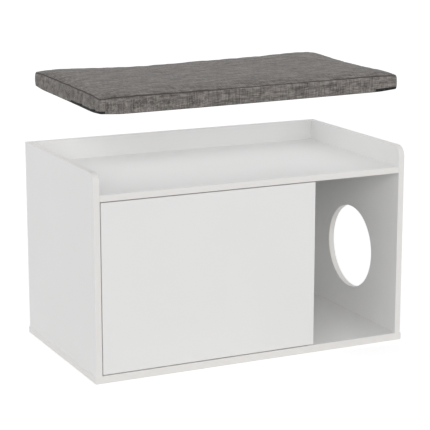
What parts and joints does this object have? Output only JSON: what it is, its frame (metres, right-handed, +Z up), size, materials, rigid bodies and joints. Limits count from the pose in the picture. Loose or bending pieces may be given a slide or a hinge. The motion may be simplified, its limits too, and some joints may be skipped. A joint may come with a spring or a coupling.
{
  "type": "cat litter box cabinet",
  "caption": "White bench cabinet that hides a litter tray: flush side-hinged door, open bay, round cat entrance, raised rim and a loose grey seat cushion.",
  "frame": {"origin": "on the floor, under the middle of the cabinet's footprint", "axes": "+X to the right seen from the front, +Y to the back, +Z up"},
  "size_m": [0.805, 0.45, 0.6523],
  "materials": {
    "white_board": "white melamine-faced board with matching edge band",
    "cast_zinc": "cast zinc cam",
    "fitting_steel": "zinc-plated steel",
    "hinge_steel": "nickel-plated pressed steel",
    "dowel_wood": "plain beech",
    "latch_plastic": "light grey moulded plastic",
    "grey_linen": "heathered grey linen weave",
    "black_fabric": "black non-slip woven base and zip tape"
  },
  "bodies": {
    "cabinet": {"left_side_panel": "white_board", "right_side_panel": "white_board", "base_panel": "white_board", "seat_panel": "white_board", "back_panel": "white_board", "divider_panel": "white_board", "seat_cam_locks": "cast_zinc", "back_cam_locks": "cast_zinc", "divider_cam_locks": "cast_zinc", "seat_cam_bolts": "fitting_steel", "back_cam_bolts": "fitting_steel", "divider_cam_bolts": "fitting_steel", "seat_dowels": "dowel_wood", "divider_dowels": "dowel_wood", "base_screws": "fitting_steel", "lower_hinge_plate": "hinge_steel", "lower_hinge_arm": "hinge_steel", "upper_hinge_plate": "hinge_steel", "upper_hinge_arm": "hinge_steel", "hinge_plate_screws": "fitting_steel", "hinge_arm_screws": "fitting_steel", "latch_housing": "latch_plastic", "latch_screws": "fitting_steel"},
    "door": {"door_panel": "white_board", "lower_hinge_cup": "hinge_steel", "upper_hinge_cup": "hinge_steel", "hinge_pins": "fitting_steel", "hinge_cup_screws": "fitting_steel", "strike_plate": "fitting_steel", "strike_screw": "fitting_steel"},
    "latch_plunger": {"latch_plunger": "latch_plastic", "latch_magnet": "fitting_steel"},
    "cushion": {"cushion_body": "grey_linen", "cushion_base_fabric": "black_fabric", "cushion_zip": "black_fabric"}
  },
  "joints": [
    {"name": "door_swing", "type": "hinge", "parent": "cabinet", "child": "door", "pos_m": [-0.3615, -0.2178, 0.218], "axis": [0, 0, -1], "range_deg": [0, 100]},
    {"name": "latch_plunger_slide", "type": "slide", "parent": "cabinet", "child": "latch_plunger", "axis": [0, -1, 0], "range_m": [0, 0.014]},
    {"name": "cushion_lift", "type": "slide", "parent": "cabinet", "child": "cushion", "axis": [0, 0, 1], "range_m": [-0.174, 0]}
  ],
  "couplings": [
    {"joint": "latch_plunger_slide", "follows": "door_swing", "m_per_rad": 0.00802}
  ]
}
